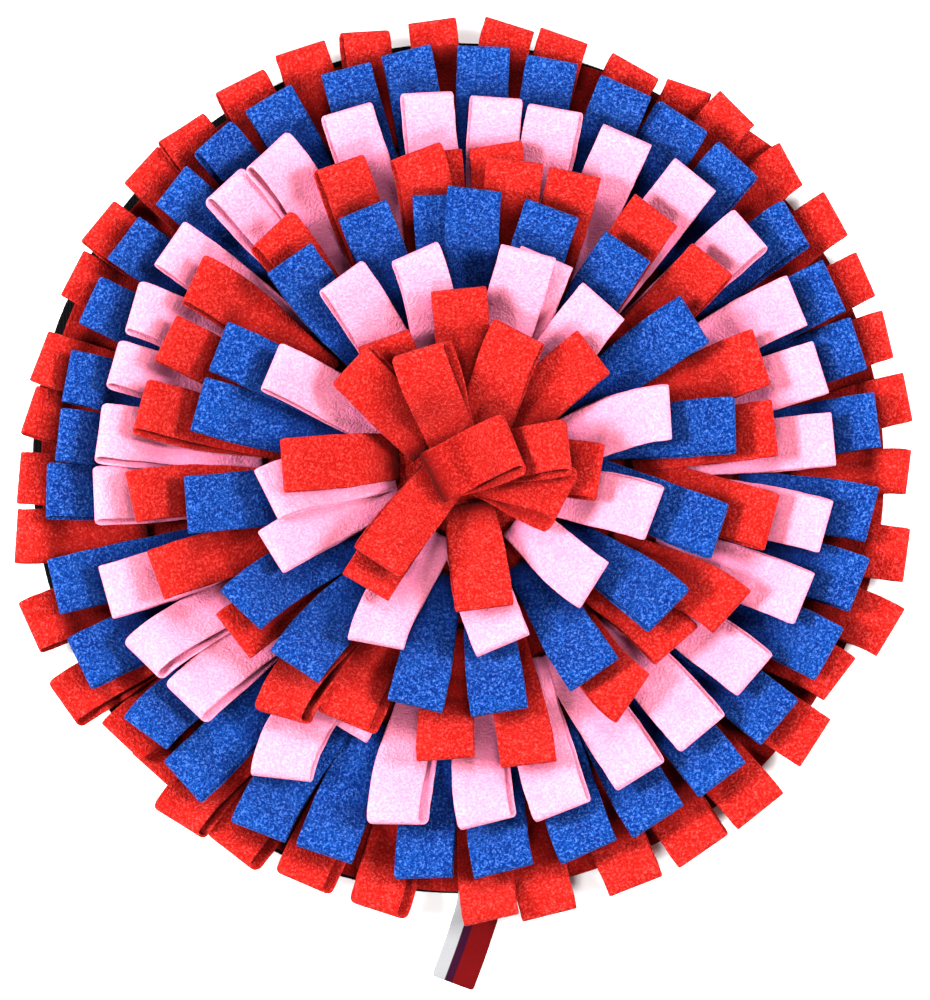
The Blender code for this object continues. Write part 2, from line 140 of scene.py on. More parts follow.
OUTER_PINK = (
    (4.1, 205.1, -0.8, 29.8), (15.5, 205.0, -1.0, 30.4), (26.5, 205.6, 2.4, 30.2),
    (40.1, 206.0, -0.4, 27.4, -2.6), (51.8, 206.0, 0.6, 29.4), (64.1, 205.0, -1.0, 29.5),
    (76.3, 204.8, -1.6, 29.5, -2.2), (85.2, 205.8, -0.2, 28.0, 1.8),
    (95.9, 208.8, 1.3, 27.7, 1.8), (108.5, 209.4, 1.0, 28.1, 1.6),
    (122.0, 208.4, -6.1, 28.3, 4.2), (130.3, 207.4, -1.4, 24.5, 5),
    (143.1, 207.1, -1.3, 28.8, 1.5), (154.3, 206.7, -4.6, 27.5, 2.8),
    (163.6, 205.6, -0.5, 24.7, 3), (174.5, 205.9, 0.7, 30.0, 3.4), (184.3, 208.7, 1.0, 29.7, 3),
    (199.4, 214.0, 2.0, 30.3, 0.3), (210.6, 212.4, -7.4, 25.8, 4.6),
    (219.7, 206.4, -3.2, 27.6, 4.8), (239.2, 204.0, -15.5, 33.3, 1.2, OVER),
    (244.6, 163.4, 3.0, 32.2, 0, UNDER), (258.3, 204.9, -5.9, 29.1, 5.2),
    (272.9, 200.7, -6.3, 30.0, 3.2), (285.2, 201.1, -3.6, 31.8, 2),
    (298.9, 199.2, -1.6, 30.2, 1.8, LEVEL, -3.5), (311.0, 199.6, 0.6, 31.4, 1.8),
    (323.6, 199.2, 2.1, 29.7, 1.8), (338.2, 202.5, 0.5, 30.4, 1.2),
    (350.1, 203.3, 2.9, 29.7, 1.2, LEVEL, 3.5),
)
INNER_RED = (
    (6.9, 173.1, 0.0, 31.6, 0, LEVEL, 1.5), (20.2, 174.9, 1.2, 32.7),
    (40.2, 178.6, -5.4, 28.4, -1.2), (53.4, 177.0, 0.6, 30.0),
    (69.7, 174.0, -4.0, 29.3), (81.0, 172.0, -1.1, 31.8, 0, OVER),
    (85.0, 179.4, -7.7, 30.0, 0, UNDER), (95.1, 176.2, 0.0, 25.7, 0, UNDER),
    (99.1, 177.5, -6.0, 28.8, 2, OVER), (112.6, 182.7, 1.6, 27.9, 2.6),
    (129.2, 171.1, -1.9, 28.4, 4), (145.5, 184.6, -5.0, 28.4, 2.2),
    (157.0, 182.2, 1.5, 27.7, 0.3), (169.2, 184.8, 2.3, 28.3, 3.6), (185.5, 188.0, -3.6, 28.9),
    (199.5, 184.3, -0.5, 28.6), (216.2, 162.0, -1.0, 31.4), (232.9, 175.6, -11.4, 27.2, 5.6),
    (243.9, 159.0, -2.0, 31.3, 5), (265.8, 165.0, -4.9, 32.4), (281.6, 170.7, 2.9, 31.2),
    (305.6, 160.0, -12.4, 32.9, -1.4), (319.4, 154.9, 4.8, 32.0, -1.4),
    (330.9, 169.3, 7.6, 31.7), (349.5, 173.3, 2.8, 31.8, -1.4, LEVEL, 10),
)
INNER_BLUE = (
    (8.7, 151.1, 3.8, 30.4, -1.5, LEVEL, 6), (32.7, 150.9, 0.6, 30.7), (53.7, 151.4, -1.3, 30.4),
    (71.6, 150.7, 0.8, 31.5), (88.3, 153.6, 3.0, 30.3, 0, OVER),
    (96.3, 151.4, 2.5, 27.3, 0, UNDER), (112.2, 154.0, -0.3, 28.9), (130.6, 151.8, 3.3, 29.9),
    (154.4, 153.7, -2.4, 29.1, 0.2), (167.1, 153.9, 1.6, 30.7, 0.2), (188.1, 158.1, 2.1, 31.9),
    (212.7, 150.0, -7.9, 31.1), (229.5, 148.0, -4.6, 32.5), (257.7, 138.0, 1.0, 31.0),
    (277.5, 139.4, -1.0, 32.3), (301.2, 137.4, -2.2, 32.7), (324.5, 139.3, 5.1, 31.5, -2.4),
    (345.5, 146.1, 2.0, 31.4, -1.5, LEVEL, 13),
)
INNER_PINK = (
    (14.4, 117.1, 6.3, 30.6, 1.3), (50.2, 119.2, 1.1, 31.3), (69.0, 124.4, 1.1, 31.6, 0, UNDER),
    (73.9, 123.8, -0.8, 31.6, 0, OVER), (103.6, 122.4, -5.0, 27.3, 1.2),
    (123.3, 126.7, -1.7, 28.4, 2), (153.0, 122.5, -2.3, 27.2, 1.5),
    (188.4, 113.6, -10.6, 30.6, 1, LEVEL, -7), (203.9, 120.1, -4.0, 26.9, 0.5, LEVEL, -12),
    (243.0, 112.6, -9.6, 31.5), (281.3, 103.3, -6.6, 31.9, 0, LEVEL, -12),
    (316.6, 98.1, -6.4, 30.6), (345.0, 108.2, 3.2, 31.0, 1.8),
)

# seam:   radius of the round seam that the ring's loops hang from
# share:  share of a strip's width left where a strip is gathered into the seam
# spread: length over which a strip spreads to its full width
# free:   length of a loop's end that nothing presses down
Ring = namedtuple("Ring", "name colour seam share spread free loops")
RINGS = (
    Ring("ring_1_red", "red", 182.0, 0.94, 40.0, 26.0, OUTER_RED),
    Ring("ring_2_blue", "blue", 152.0, 0.90, 60.0, 30.0, OUTER_BLUE),
    Ring("ring_3_pink", "pink", 114.0, 0.84, 66.0, 36.0, OUTER_PINK),
    Ring("ring_4_red", "red", 91.0, 0.80, 70.0, 34.0, INNER_RED),
    Ring("ring_5_blue", "blue", 62.0, 0.76, 66.0, 42.0, INNER_BLUE),
    Ring("ring_6_pink", "pink", 41.0, 0.82, 40.0, 44.0, INNER_PINK),
)
EVENNESS = 0.3          # how evenly the loops are spaced at their seam, from 0 to 1
LAID_FIRST = 300.0      # bearing at which the laying of a ring starts
LAID_LAST = 90.0        # bearing at which the two ways round meet

# The rosette's loops in the order in which they are laid, lowest first.
# root_x, root_y: where the loop starts, from the tufts' centre, mm
# root_z:         height of its lower layer there, mm
Petal = namedtuple("Petal", "bearing reach slant gape width root_x root_y root_z")
ROSETTE = (
    Petal(180.3, 103, -2.3, 0.5, 30.0, -38, 5, 3.0),
    Petal(123.5, 85, 8.0, 0.0, 30.5, -10, 14, 5.0),
    Petal(92.8, 98, -1.7, 0.0, 31.0, 2, 14, 5.0),
    Petal(41.9, 95, 2.2, -0.8, 30.0, 11, 10, 5.0),
    Petal(357.4, 75, 3.6, -2.0, 31.0, 12, 3, 8.0),
    Petal(277.4, 81, 0.2, -1.2, 32.0, 1, -21, 4.0),
    Petal(230.4, 89, -5.0, 0.0, 30.0, -15, -7, 7.0),
    Petal(140.0, 86, 1.6, -2.4, 28.5, -21, 10, 9.0),
    Petal(69.0, 80, 3.8, -1.8, 30.5, 7, 13, 9.0),
    Petal(343.5, 59, 5.9, -9.5, 30.0, 1, -2, 10.0),
    Petal(11.7, 58, 3.1, -4.5, 27.5, 0, 0, 12.0),
    Petal(227.9, 74, -4.6, -1.6, 30.0, -11, -5, 11.0),
    Petal(113.8, 70, 3.9, -5.5, 30.0, -6, 9, 12.0),
    Petal(29.9, 30, 4.5, -6.0, 31.0, -20, -8, 21.0),
)
PETAL_SHARE = 0.90
PETAL_SPREAD = 34.0
PETAL_FREE = 0.7        # share of a petal's length that nothing presses down
CROWN_SHARE = 1.0       # the last one lies across the middle at its full width

# How far the layers lie apart sideways, by bearing: most where they lean over.
LEAN_BEARINGS = (0, 60, 95, 130, 200, 290, 320, 360)
LEAN_GAPES = (-0.5, -0.5, 0.3, 0.6, 0.6, 0.5, 0.0, -0.5)

# Shares between which the loops of a ring, and of the rosette, differ at random.
LEAN_SPREAD = (0.4, 1.2)
FOLD_SPREAD = (0.88, 1.14)
SPRING_SPREAD = (0.7, 1.3)
PETAL_FOLD_SPREAD = (1.0, 1.2)
PETAL_SPRING_SPREAD = (0.5, 1.0)
ROSETTE_SEED = 11
TUCKED_SPRING = 0.4     # what is left of its spring where a loop lies under its neighbours

PAINTED_SHADE_TINT = (0.9, 0.90, 1.15)          # bluish tint of the painted shade where cloth lies low between others
NAPS = {"red": 0.8, "blue": 1.3, "pink": 0.5}     # how strong the nap of each cloth is, in its bump and in the painted shade and highlight of its curls

# ----------------------------------------------------------------- the label
LABEL_WIDTH = 25.0
LABEL_LINE = (          # x, y and height of its middle line, mm
    (14.5, -222.0, 5.2), (13.5, -237.0, 5.4), (12.6, -243.5, 4.4), (11.4, -249.5, 1.6),
    (9.7, -255.0, 0.7), (4.0, -272.0, 0.8), (-2.6, -289.5, 1.4),
)
LABEL_ROWS = 25
LABEL_COLUMNS = 9
LABEL_WAVE = 0.25       # unevenness of the laid ribbon, mm
LABEL_WAVE_LENGTH = 16.0
STRIPE_EDGES = (0.3025, 0.4875)         # where one stripe meets the next, as shares of its width
STRIPE_BLUR = 0.0075

# ----------------------------------------------------------------- the stage
LIGHTS = (              # name, place in metres, share of a side light's power
    ("left light", (-1.65, 0.15, 1.05), 1.50),
    ("right light", (1.65, 0.25, 1.05), 1.18),
    ("far light", (0.1, 1.5, 1.5), 0.45),
    ("near light", (-0.1, -1.5, 1.5), 0.58),
)
LIGHT_SIZE = 0.6
VIEW_CENTRE = (0.0045, -0.0179)         # the point that the camera is straight above
VIEW_LEVEL = 0.012      # height at which the view has its stated size
SENSOR = 24.0
FLOOR_HALF = 4.0
FLOOR_DROP = 0.0005     # how far the floor lies under the backing


# =================================================================== settings
def length_setting(name, description, default):
    """A length that the sidebar shows in the scene's units."""
    return FloatProperty(name=name, description=description, default=default,
                         unit="LENGTH", precision=4, min=0.0)


def colour_setting(name, description, default):
    return FloatVectorProperty(name=name, description=description, default=default,
                               subtype="COLOR", size=3, min=0.0, max=1.0)


class MatSizes(bpy.types.PropertyGroup):
    """Sizes of the cloth and of its folds"""
    fleece: length_setting("Fleece", "Thickness of the fleece", 0.0013)
    ribbon: length_setting("Ribbon", "Thickness of the label's ribbon", 0.0008)
    fold: length_setting("Fold", "Height over the middle of both layers at a fold", 0.0060)
    root: length_setting("Root", "Height over the middle of both layers at a seam", 0.0018)
    belly: length_setting("Belly", "How far a loop bulges before its fold", 0.0010)
    spring: length_setting("Spring", "How far a loop's end stands off what it lies on", 0.0070)
    wave: length_setting("Wave", "Unevenness of the laid cloth", 0.0008)
    curl: length_setting("Curl", "Size of one curl of the nap", 0.0015)
    nap: length_setting("Nap", "Depth of the nap", 0.0006)


class MatColours(bpy.types.PropertyGroup):
    """Colours of the cloths"""
    red: colour_setting("Red", "Red fleece", (0.38, 0.0100, 0.0060))
    blue: colour_setting("Blue", "Blue fleece", (0.0010, 0.046, 0.245))
    pink: colour_setting("Pink", "Pink fleece", (0.75, 0.232, 0.333))
    backing: colour_setting("Backing", "Black cloth under the mat", (0.0022, 0.0022, 0.0026))
    stripe_left: colour_setting("Left stripe", "Label, first stripe", (0.20, 0.20, 0.205))
    stripe_middle: colour_setting("Middle stripe", "Label, second stripe", (0.016, 0.001, 0.009))
    stripe_right: colour_setting("Right stripe", "Label, third stripe", (0.075, 0.0008, 0.0012))


class MatStage(bpy.types.PropertyGroup):
    """Camera, light and floor"""
    camera_height: length_setting("Camera height", "Camera above the loops", 3.0)
    view_height: length_setting("View", "Height of the view at the loops", 0.560)
    sides: FloatProperty(name="Side lights", description="Power of each large side light",
                         default=76.0, unit="POWER")
    fill: FloatProperty(name="Fill", description="Brightness of the surroundings", default=0.19)
    floor: colour_setting("Floor", "Plain pale floor", (0.90, 0.90, 0.90))


# ================================================================== materials
class Value:
    """A number socket that takes part in Python sums, each sum a Math node."""

    def __init__(self, finish, socket):
        self.finish = finish
        self.socket = socket

    def sum(self, operation, first, second):
        return self.finish.node("ShaderNodeMath", {"operation": operation}, {0: first, 1: second})

    def __add__(self, other):
        return self.sum("ADD", self, other)

    def __mul__(self, other):
        return self.sum("MULTIPLY", self, other)

    __radd__ = __add__
    __rmul__ = __mul__


class Finish:
    """One material: its node tree and its Principled shader."""

    def __init__(self, name, constants):
        self.material = bpy.data.materials.new(name)
        self.material.use_nodes = True
        self.tree = self.material.node_tree
        self.shader = self.tree.nodes["Principled BSDF"]
        for socket, value in constants.items():
            self.shader.inputs[socket].default_value = value

    def feed(self, socket, value):
        if isinstance(value, Value):
            self.tree.links.new(value.socket, socket)
        else:
            socket.default_value = value

    def node(self, kind, settings, inputs, output=0):
        """A node with its settings made first, then its sockets' values or links."""
        node = self.tree.nodes.new(kind)
        for name, value in settings.items():
            setattr(node, name, value)
        for name, value in inputs.items():
            self.feed(node.inputs[name], value)
        return Value(self, node.outputs[output])

    def coordinates(self, output="Object"):
        return self.node("ShaderNodeTexCoord", {}, {}, output)

    def grain(self, size, detail, twist=0.0):
        """Noise with features of about this size, in metres, from 0 to 1."""
        inputs = {
            "Vector": self.coordinates(), "Scale": 1.0 / size,
            "Detail": detail, "Roughness": 0.55, "Distortion": twist,
        }
        return self.node("ShaderNodeTexNoise", {}, inputs, "Fac")

    def ramp(self, value, low, high):
        """0 at the low value, 1 at the high one, smooth between."""
        inputs = {"Value": value, "From Min": low, "From Max": high}
        return self.node("ShaderNodeMapRange", {"interpolation_type": "SMOOTHSTEP"}, inputs)

    def mix(self, share, first, second):
        """Two colours mixed; the node's colour sockets have these numbers."""
        inputs = {0: share, 6: first, 7: second}
        return self.node("ShaderNodeMix", {"data_type": "RGBA"}, inputs, 2)

    def bump(self, height, depth):
        inputs = {"Height": height, "Distance": depth, "Strength": 1.0}
        self.feed(self.shader.inputs["Normal"], self.node("ShaderNodeBump", {}, inputs))

    def paint(self, colour):
        self.feed(self.shader.inputs["Base Color"], colour)


def tinted(colour, brightness, paleness=0.0):
    """A colour made lighter or darker, and mixed with a share of white."""
    return tuple(min(1.0, c * brightness * (1 - paleness) + paleness) for c in colour) + (1.0,)


def fleece_finish(name, colour, nap, sizes):
    """Short curly nap, its colour darker in the pits between the curls (painted shade) and paler
    on their tops (painted highlight).

    It also gets painted shade where its points' attribute says that the cloth lies low between
    and under others, near black where it lies lowest.
    """
    finish = Finish(name, {"Roughness": 0.95, "Sheen Weight": 0.02, "Sheen Roughness": 0.5,
                           "Specular IOR Level": 0.05})
    curl = finish.grain(sizes.curl, 1.5, twist=0.2)
    fine = finish.grain(sizes.curl * 0.45, 2.0)
    slow = finish.grain(sizes.curl * 12, 2.0)
    height = finish.ramp(curl * 0.7 + fine * 0.3, 0.34, 0.66)
    # painted shade: the colour is darker where the nap lies low, and darker or lighter at random
    # over larger patches
    tone = finish.ramp(height * 0.75 + slow * 0.5, 0.10, 1.05)
    pit_shade = tuple(c ** (1 + 0.35 * nap) * (1 - 0.2 * nap) for c in colour)
    body = finish.mix(tone, tinted(pit_shade, 1.0), tinted(colour, 1.04))
    # painted highlight: the tops of the curls are coloured paler
    tip_highlight = finish.ramp(curl * 0.5 + fine * 0.5, 0.50, 0.68)
    body = finish.mix(tip_highlight * 0.5 * nap, body, tinted(colour, 1 + 0.75 * nap, 0.08))
    # painted shade: cloth lying low between and under others is coloured darker and bluer
    painted_shade_level = 0.4 + 1.4 * min(colour)
    painted_shade_colour = tuple(c ** 1.3 * painted_shade_level * shade for c, shade in zip(colour, PAINTED_SHADE_TINT))
    deep = finish.node("ShaderNodeAttribute", {"attribute_name": "deep"}, {}, "Fac")
    shaded = finish.mix(deep, body, tinted(painted_shade_colour, 1.0))
    # painted shade: where it lies lowest the cloth is darkened to near black
    finish.paint(finish.mix(finish.ramp(deep, 0.75, 1.0) * 0.75, shaded, tinted(painted_shade_colour, 0.10)))
    finish.bump(height + fine * 0.35, sizes.nap * nap)
    return finish.material


def backing_finish(name, colour):
    """Plain woven cloth: two crossed sets of threads."""
    finish = Finish(name, {"Roughness": 0.8, "Specular IOR Level": 0.03})
    place = finish.coordinates()
    threads = []
    for direction in ("X", "Y"):
        settings = {"wave_type": "BANDS", "bands_direction": direction}
        threads.append(finish.node("ShaderNodeTexWave", settings,
                                   {"Vector": place, "Scale": 160.0, "Distortion": 0.4}, "Fac"))
    weave = threads[0] * threads[1]
    finish.paint(finish.mix(weave, tinted(colour, 0.8), tinted(colour, 1.6)))
    finish.bump(weave, 0.0003)
    return finish.material


def ribbon_finish(name, colours):
    """Satin ribbon in three plain stripes, with fine ribs across it."""
    finish = Finish(name, {"Roughness": 0.6, "Specular IOR Level": 0.03})
    place = finish.node("ShaderNodeSeparateXYZ", {}, {0: finish.coordinates("UV")}, "X")
    first, second = (
        finish.ramp(place, edge - STRIPE_BLUR, edge + STRIPE_BLUR) for edge in STRIPE_EDGES
    )
    left, middle, right = (tinted(colour, 1.0) for colour in colours)
    finish.paint(finish.mix(second, finish.mix(first, left, middle), right))
    ribs = finish.node("ShaderNodeTexWave", {"bands_direction": "Y"},
                       {"Vector": finish.coordinates(), "Scale": 420.0}, "Fac")
    finish.bump(ribs + finish.grain(0.0006, 2.0) * 0.5, 0.0001)
    return finish.material


def stage_finish(name, colour):
    finish = Finish(name, {"Roughness": 0.9, "Specular IOR Level": 0.1})
    finish.paint(finish.mix(finish.grain(0.05, 3.0), tinted(colour, 0.99), tinted(colour, 1.01)))
    return finish.material


# ============================================================ laying the cloth
CELL = 2.0              # grid of the bed, mm
BED_HALF = 312.0
CLEARANCE = 0.2         # between cloths that lie on each other
FEELER = 2.5            # a strip's point rests on the highest thing this near
EVEN = np.linspace(-1.0, 1.0, 7)        # columns on which a strip settles
COLUMNS = np.array((-1.0, -0.90, 0.0, 0.90, 1.0))       # and those that it is made with
ROW_LENGTH = 4.2        # length of its faces along it
RAGGED = 0.018          # unevenness of its cut edges, as a share of half its width
FOLD_ROWS = 5           # rows of points between the two ends of a fold
SETTLING = 20           # rounds of smoothing as cloth settles
EASING = 5              # and where it rides up on a loop beside it
YIELD = 0.7             # how far a laid cloth gives way under the next, mm
RIM = 0.45              # how far a gaping edge curls up between the two layers
STEEPEST = 0.45         # the most that a fold turns against its loop, radians
OPENING = 1.25          # how soon along a loop its gape opens
LAYER_CROWN = 0.5       # how much higher an upper layer lies along its middle, mm
LOW_WAVE_LENGTH = 24.0
HIGH_WAVE_LENGTH = 21.0
BELLY_SHAPE = 27 / 4    # brings the bulge before a fold to its full height
BARE_SIDE = 0.2         # share of half a strip's width from which its gaping edge curls up
WAVE_START = 4          # how soon along a loop its unevenness and its crown set in
CROWN_START = 3
UPPER_EDGE_SEED = 3.7   # keeps the two layers of a loop from being alike
UPPER_WAVE_SEED = 7.3
NOISE_GAIN = 1.6        # brings Blender's noise to about -1 to 1
DEEPENING = 1.3         # how fast the painted shade darkens cloth as it lies lower
# the most painted shade that cloth gets
DEEPEST = 0.86
LOOKOUTS = (5.0, 9.0, 15.0, 24.0)       # how far off a point is shaded by higher cloth, mm
COVER_START = 7.0       # height over a point from which cloth above shades it, mm
COVER_RANGE = 7.0       # rise over which that shade would become full
COVER_MOST = 0.7        # and the most that it becomes
INSIDE = 0.95           # how much painted shade the inside of a loop gets
CUT_EDGE = 0.1          # how much of that counts at a lower layer's cut edges
LIT_END = 0.5           # how much of it is lost at a loop's free end
FOLD_START = 0.4        # how much of it is left where a fold begins
HIDDEN_SHARE = 0.38     # share of an upper layer, from its seam on, that lies under other cloth and is given painted shade
ROOT_ZONE = 0.16        # share of a loop next to its seam that its neighbours don't lie on
PETAL_ROOT_ZONE = 0.28  # and the same for the rosette's loops


class Bed:
    """Height of what is already laid, in mm, on a square grid."""

    def __init__(self):
        cells = int(2 * BED_HALF / CELL) + 1
        self.height = np.zeros((cells, cells))
        self.beside = np.zeros((cells, cells))

    def index(self, x, y):
        last = self.height.shape[0] - 1
        column = np.clip(np.rint((x + BED_HALF) / CELL).astype(int), 0, last)
        row = np.clip(np.rint((y + BED_HALF) / CELL).astype(int), 0, last)
        return row, column

    def lay_disc(self, radius, top):
        line = np.linspace(-BED_HALF, BED_HALF, self.height.shape[0])
        inside = np.hypot(line[None, :], line[:, None]) <= radius
        self.height[inside] = np.maximum(self.height[inside], top)

    def rest(self, x, y):
        """What a cloth's points rest on: the highest of the cells round each."""
        felt = [
            self.height[self.index(x + right * FEELER, y + up * FEELER)]
            for right in (-1, 0, 1) for up in (-1, 0, 1)
        ]
        return np.max(felt, axis=0)

    def cover(self, x, y, top):
        """Raises the bed to the top of a cloth just laid."""
        self.raise_to(self.height, x, y, top)

    def cover_beside(self, x, y, top):
        """The same for a loop whose own ring isn't complete yet."""
        self.raise_to(self.beside, x, y, top)

    def raise_to(self, heights, x, y, top):
        fine = [refined(values) for values in (x, y, top - YIELD)]
        np.maximum.at(heights, self.index(fine[0], fine[1]), fine[2])

    def end_ring(self):
        self.height = np.maximum(self.height, self.beside)
        self.beside = np.zeros_like(self.height)

    def deepness(self, x, y, z):
        """How much painted shade points get from lying low between what is laid round and over
        them, from 0 up.
        """
        ground = averaged(averaged(self.height))
        sky = np.zeros_like(z)
        for turn in np.arange(8) * math.pi / 4:
            slopes = [
                (ground[self.index(x + math.cos(turn) * far, y + math.sin(turn) * far)] - z) / far
                for far in LOOKOUTS
            ]
            sky += 1 / (1 + np.clip(np.max(slopes, axis=0), 0.0, None) ** 2) / 8
        over = ground[self.index(x, y)] - z - COVER_START
        covered = np.clip(over / COVER_RANGE, 0.0, COVER_MOST)
        return np.clip(DEEPENING * (1 - sky * (1 - covered)), 0.0, DEEPEST)


def refined(values, times=5):
    """A grid of values with more rows and columns between its own."""
    for axis in (0, 1):
        count = values.shape[axis]
        steps = np.linspace(0, count - 1, (count - 1) * times + 1)
        below = np.minimum(steps.astype(int), count - 2)
        share = (steps - below).reshape((-1, 1) if axis == 0 else (1, -1))
        lower = np.take(values, below, axis)
        upper = np.take(values, below + 1, axis)
        values = lower + (upper - lower) * share
    return values


def averaged(heights):
    """Each height's mean with those beside it."""
    wide = np.pad(heights, 1, mode="edge")
    along = wide[:-2, 1:-1] + wide[2:, 1:-1]
    across = wide[1:-1, :-2] + wide[1:-1, 2:]
    return 0.5 * heights + 0.125 * (along + across)


def settled(rest, rounds):
    """Cloth laid over a bed: it bridges the hollows and never sinks in."""
    heights = rest.copy()
    for _ in range(rounds):
        heights = np.maximum(rest, averaged(heights))
    return heights


def to_columns(heights):
    """Heights on even columns, read at a strip's own columns."""
    return np.stack([np.interp(COLUMNS, EVEN, row) for row in heights])


def smoothstep(value):
    value = np.clip(value, 0.0, 1.0)
    return value * value * (3.0 - 2.0 * value)


def polar(bearing, radius):
    angle = math.radians(bearing)
    return np.array((math.cos(angle), math.sin(angle))) * radius


# root, tip:     ends of a loop's middle line in plan, from the tufts' centre
# heading:       direction in which its fold faces
# width, share, spread: the strip's width, and how it is gathered at the root
# gape:          sideways shift of the lower layer, towards the left when looking out
# fold:          height over both layers at the fold
# free, spring:  length of its end that nothing presses down, and how far that lifts
Course = namedtuple("Course", "root tip heading width share spread gape fold free spring seed")


def plan(course, run, across, lift):
    """Place in plan of points on a loop.

    run is the distance from the root, across goes from -1 to 1 over the strip,
    and lift from 0 on the lower layer to 1 on the upper.
    """
    chord = course.tip - course.root
    length = math.hypot(*chord)
    ahead = chord / length
    left = np.array((-ahead[1], ahead[0]))
    turn = math.atan2(course.heading @ left, course.heading @ ahead)
    slope = math.tan(max(-STEEPEST, min(STEEPEST, turn)))
    share = run / length
    sway = -length * slope * share ** 2 * (1 - share)
    lean = -slope * (2 * share - 3 * share ** 2)
    norm = np.hypot(1.0, lean)
    width = course.width * (course.share + (1 - course.share) * smoothstep(run / course.spread))
    aside = across * width / 2 + course.gape * (1 - lift) * smoothstep(share * OPENING)
    forward = run - aside * lean / norm
    sideways = sway + aside / norm
    x = course.root[0] + forward * ahead[0] + sideways * left[0] + TUFT_CENTRE[0]
    y = course.root[1] + forward * ahead[1] + sideways * left[1] + TUFT_CENTRE[1]
    return x, y


def ragged(rows, seed):
    """Uneven cut edges: a number from -1 to 1 for each row's two outer points."""
    offsets = np.zeros((rows, len(COLUMNS)))
    draw = np.random.default_rng(int(seed * 1000))
    offsets[:, 0], offsets[:, -1] = draw.uniform(-1.0, 1.0, (2, rows))
    return offsets


def unevenness(x, y, seed, length):
    """Smooth noise over points in plan, from about -1 to 1."""
    flat = [
        noise.noise(Vector((px / length, py / length, seed)))
        for px, py in zip(x.ravel(), y.ravel())
    ]
    return np.array(flat).reshape(x.shape) * NOISE_GAIN


def rested(bed, course, run, free, cloth, root_z):
    """Heights of a lower layer come to rest on the bed, on even columns."""
    place = plan(course, run, EVEN[None, :], 0.0)
    rest = bed.rest(*place) + CLEARANCE + cloth / 2
    if root_z is not None:
        length = math.hypot(*(course.tip - course.root))
        rest = np.where(run < PETAL_ROOT_ZONE * length, root_z, rest)
    beside = bed.beside[bed.index(*place)] + CLEARANCE + cloth / 2
    laid = settled(rest, SETTLING) + course.spring * free
    return settled(np.maximum(laid, beside), EASING)


def rim_height(gape, apart, share):
    """How far a lower layer curls up along the edge at which it shows."""
    outward = COLUMNS[None, :] * math.copysign(1.0, gape)
    side = smoothstep((outward - BARE_SIDE) / (1 - BARE_SIDE))
    return RIM * side * apart * min(1.0, abs(gape) / 2) * smoothstep(share * 1.5)


def fold_layers(course, flat, low, high, inner_shade):
    """Rows of points round a fold, from the end of the lower layer to the upper's."""
    middle = (low + high) / 2
    bulge = (high - low) / 2
    for step in range(1, FOLD_ROWS + 1):
        turn = math.pi * step / (FOLD_ROWS + 1)
        out = np.full((1, 1), flat + course.fold / 2 * math.sin(turn))
        x, y = plan(course, out, COLUMNS[None, :], (1 - math.cos(turn)) / 2)
        heights = (middle - bulge * math.cos(turn))[None, :]
        # painted shade: only the fold's first row keeps some of it
        yield x, y, heights, inner_shade * (FOLD_START if step == 1 else 0.0)


def lay_loop(bed, course, sizes, root_z=None):
    """A folded strip that settles on the bed, and what it covers.

    Its points come row by row, in mm, each with the painted shade that it gets inside the loop or
    next to the seam.
    """
    cloth = sizes.fleece / MM
    radius = course.fold / 2
    flat = math.hypot(*(course.tip - course.root)) - radius - cloth / 2
    rows = max(5, round(flat / ROW_LENGTH))
    run = np.linspace(0.0, flat, rows + 1)[:, None]
    share = run / flat
    free = smoothstep(1 - (flat - run) / course.free)
    laid = rested(bed, course, run, free, cloth, root_z)
    apart = sizes.root / MM + (course.fold - sizes.root / MM) * free
    apart = apart + sizes.belly / MM * BELLY_SHAPE * free ** 2 * (1 - free)
    wave = sizes.wave / MM * smoothstep(share * WAVE_START)

    across = COLUMNS[None, :] * (1 + RAGGED * ragged(rows + 1, course.seed))
    x, y = plan(course, run, across, 0.0)
    low = to_columns(laid) + 0.5 * wave * (1 + unevenness(x, y, course.seed, LOW_WAVE_LENGTH))

    seed = course.seed + UPPER_EDGE_SEED
    across = COLUMNS[None, :] * (1 + RAGGED * ragged(rows + 1, seed))
    up_x, up_y = plan(course, run, across, 1.0)
    crown = LAYER_CROWN * (1 - across ** 2) * smoothstep(share * CROWN_START)
    seed = course.seed + UPPER_WAVE_SEED
    ripple = wave * (1 + unevenness(up_x, up_y, seed, HIGH_WAVE_LENGTH))
    high = to_columns(averaged(averaged(laid))) + apart + crown + ripple
    high = np.maximum(high, low + cloth + CLEARANCE)
    low = low + rim_height(course.gape, apart, share)

    # painted shade inside the loop on the lower layer, less at its cut edges and towards the
    # loop's free end
    inner_shade = np.where(np.abs(COLUMNS[None, :]) == 1.0, CUT_EDGE, 1.0 - LIT_END * free)
    layers = [(x, y, low, inner_shade)]
    layers += fold_layers(course, flat, low[-1], high[-1], inner_shade[-1:])
    # painted shade on the upper layer next to its seam
    inner_shade = np.broadcast_to(1 - smoothstep(share / HIDDEN_SHARE), high.shape)
    layers.append((up_x[::-1], up_y[::-1], high[::-1], inner_shade[::-1]))
    points = np.concatenate([np.stack(layer, axis=-1) for layer in layers])

    reach = np.append(run, flat + radius)[:, None]
    top_x, top_y = plan(course, reach, COLUMNS[None, :], 1.0)
    end = (low[-1] + high[-1]) / 2 + (high[-1] - low[-1]) / 2 * 0.4
    return points, (top_x, top_y, np.vstack((high, end)) + cloth / 2)


def root_bearings(loops):
    """Bearings at the seam: the folds' own, moved a little towards even spacing."""
    step = 360.0 / len(loops)
    start = sum(loop.bearing - step * i for i, loop in enumerate(loops)) / len(loops)
    return [
        loop.bearing + EVENNESS * (start + step * i - loop.bearing) + loop.swing
        for i, loop in enumerate(loops)
    ]


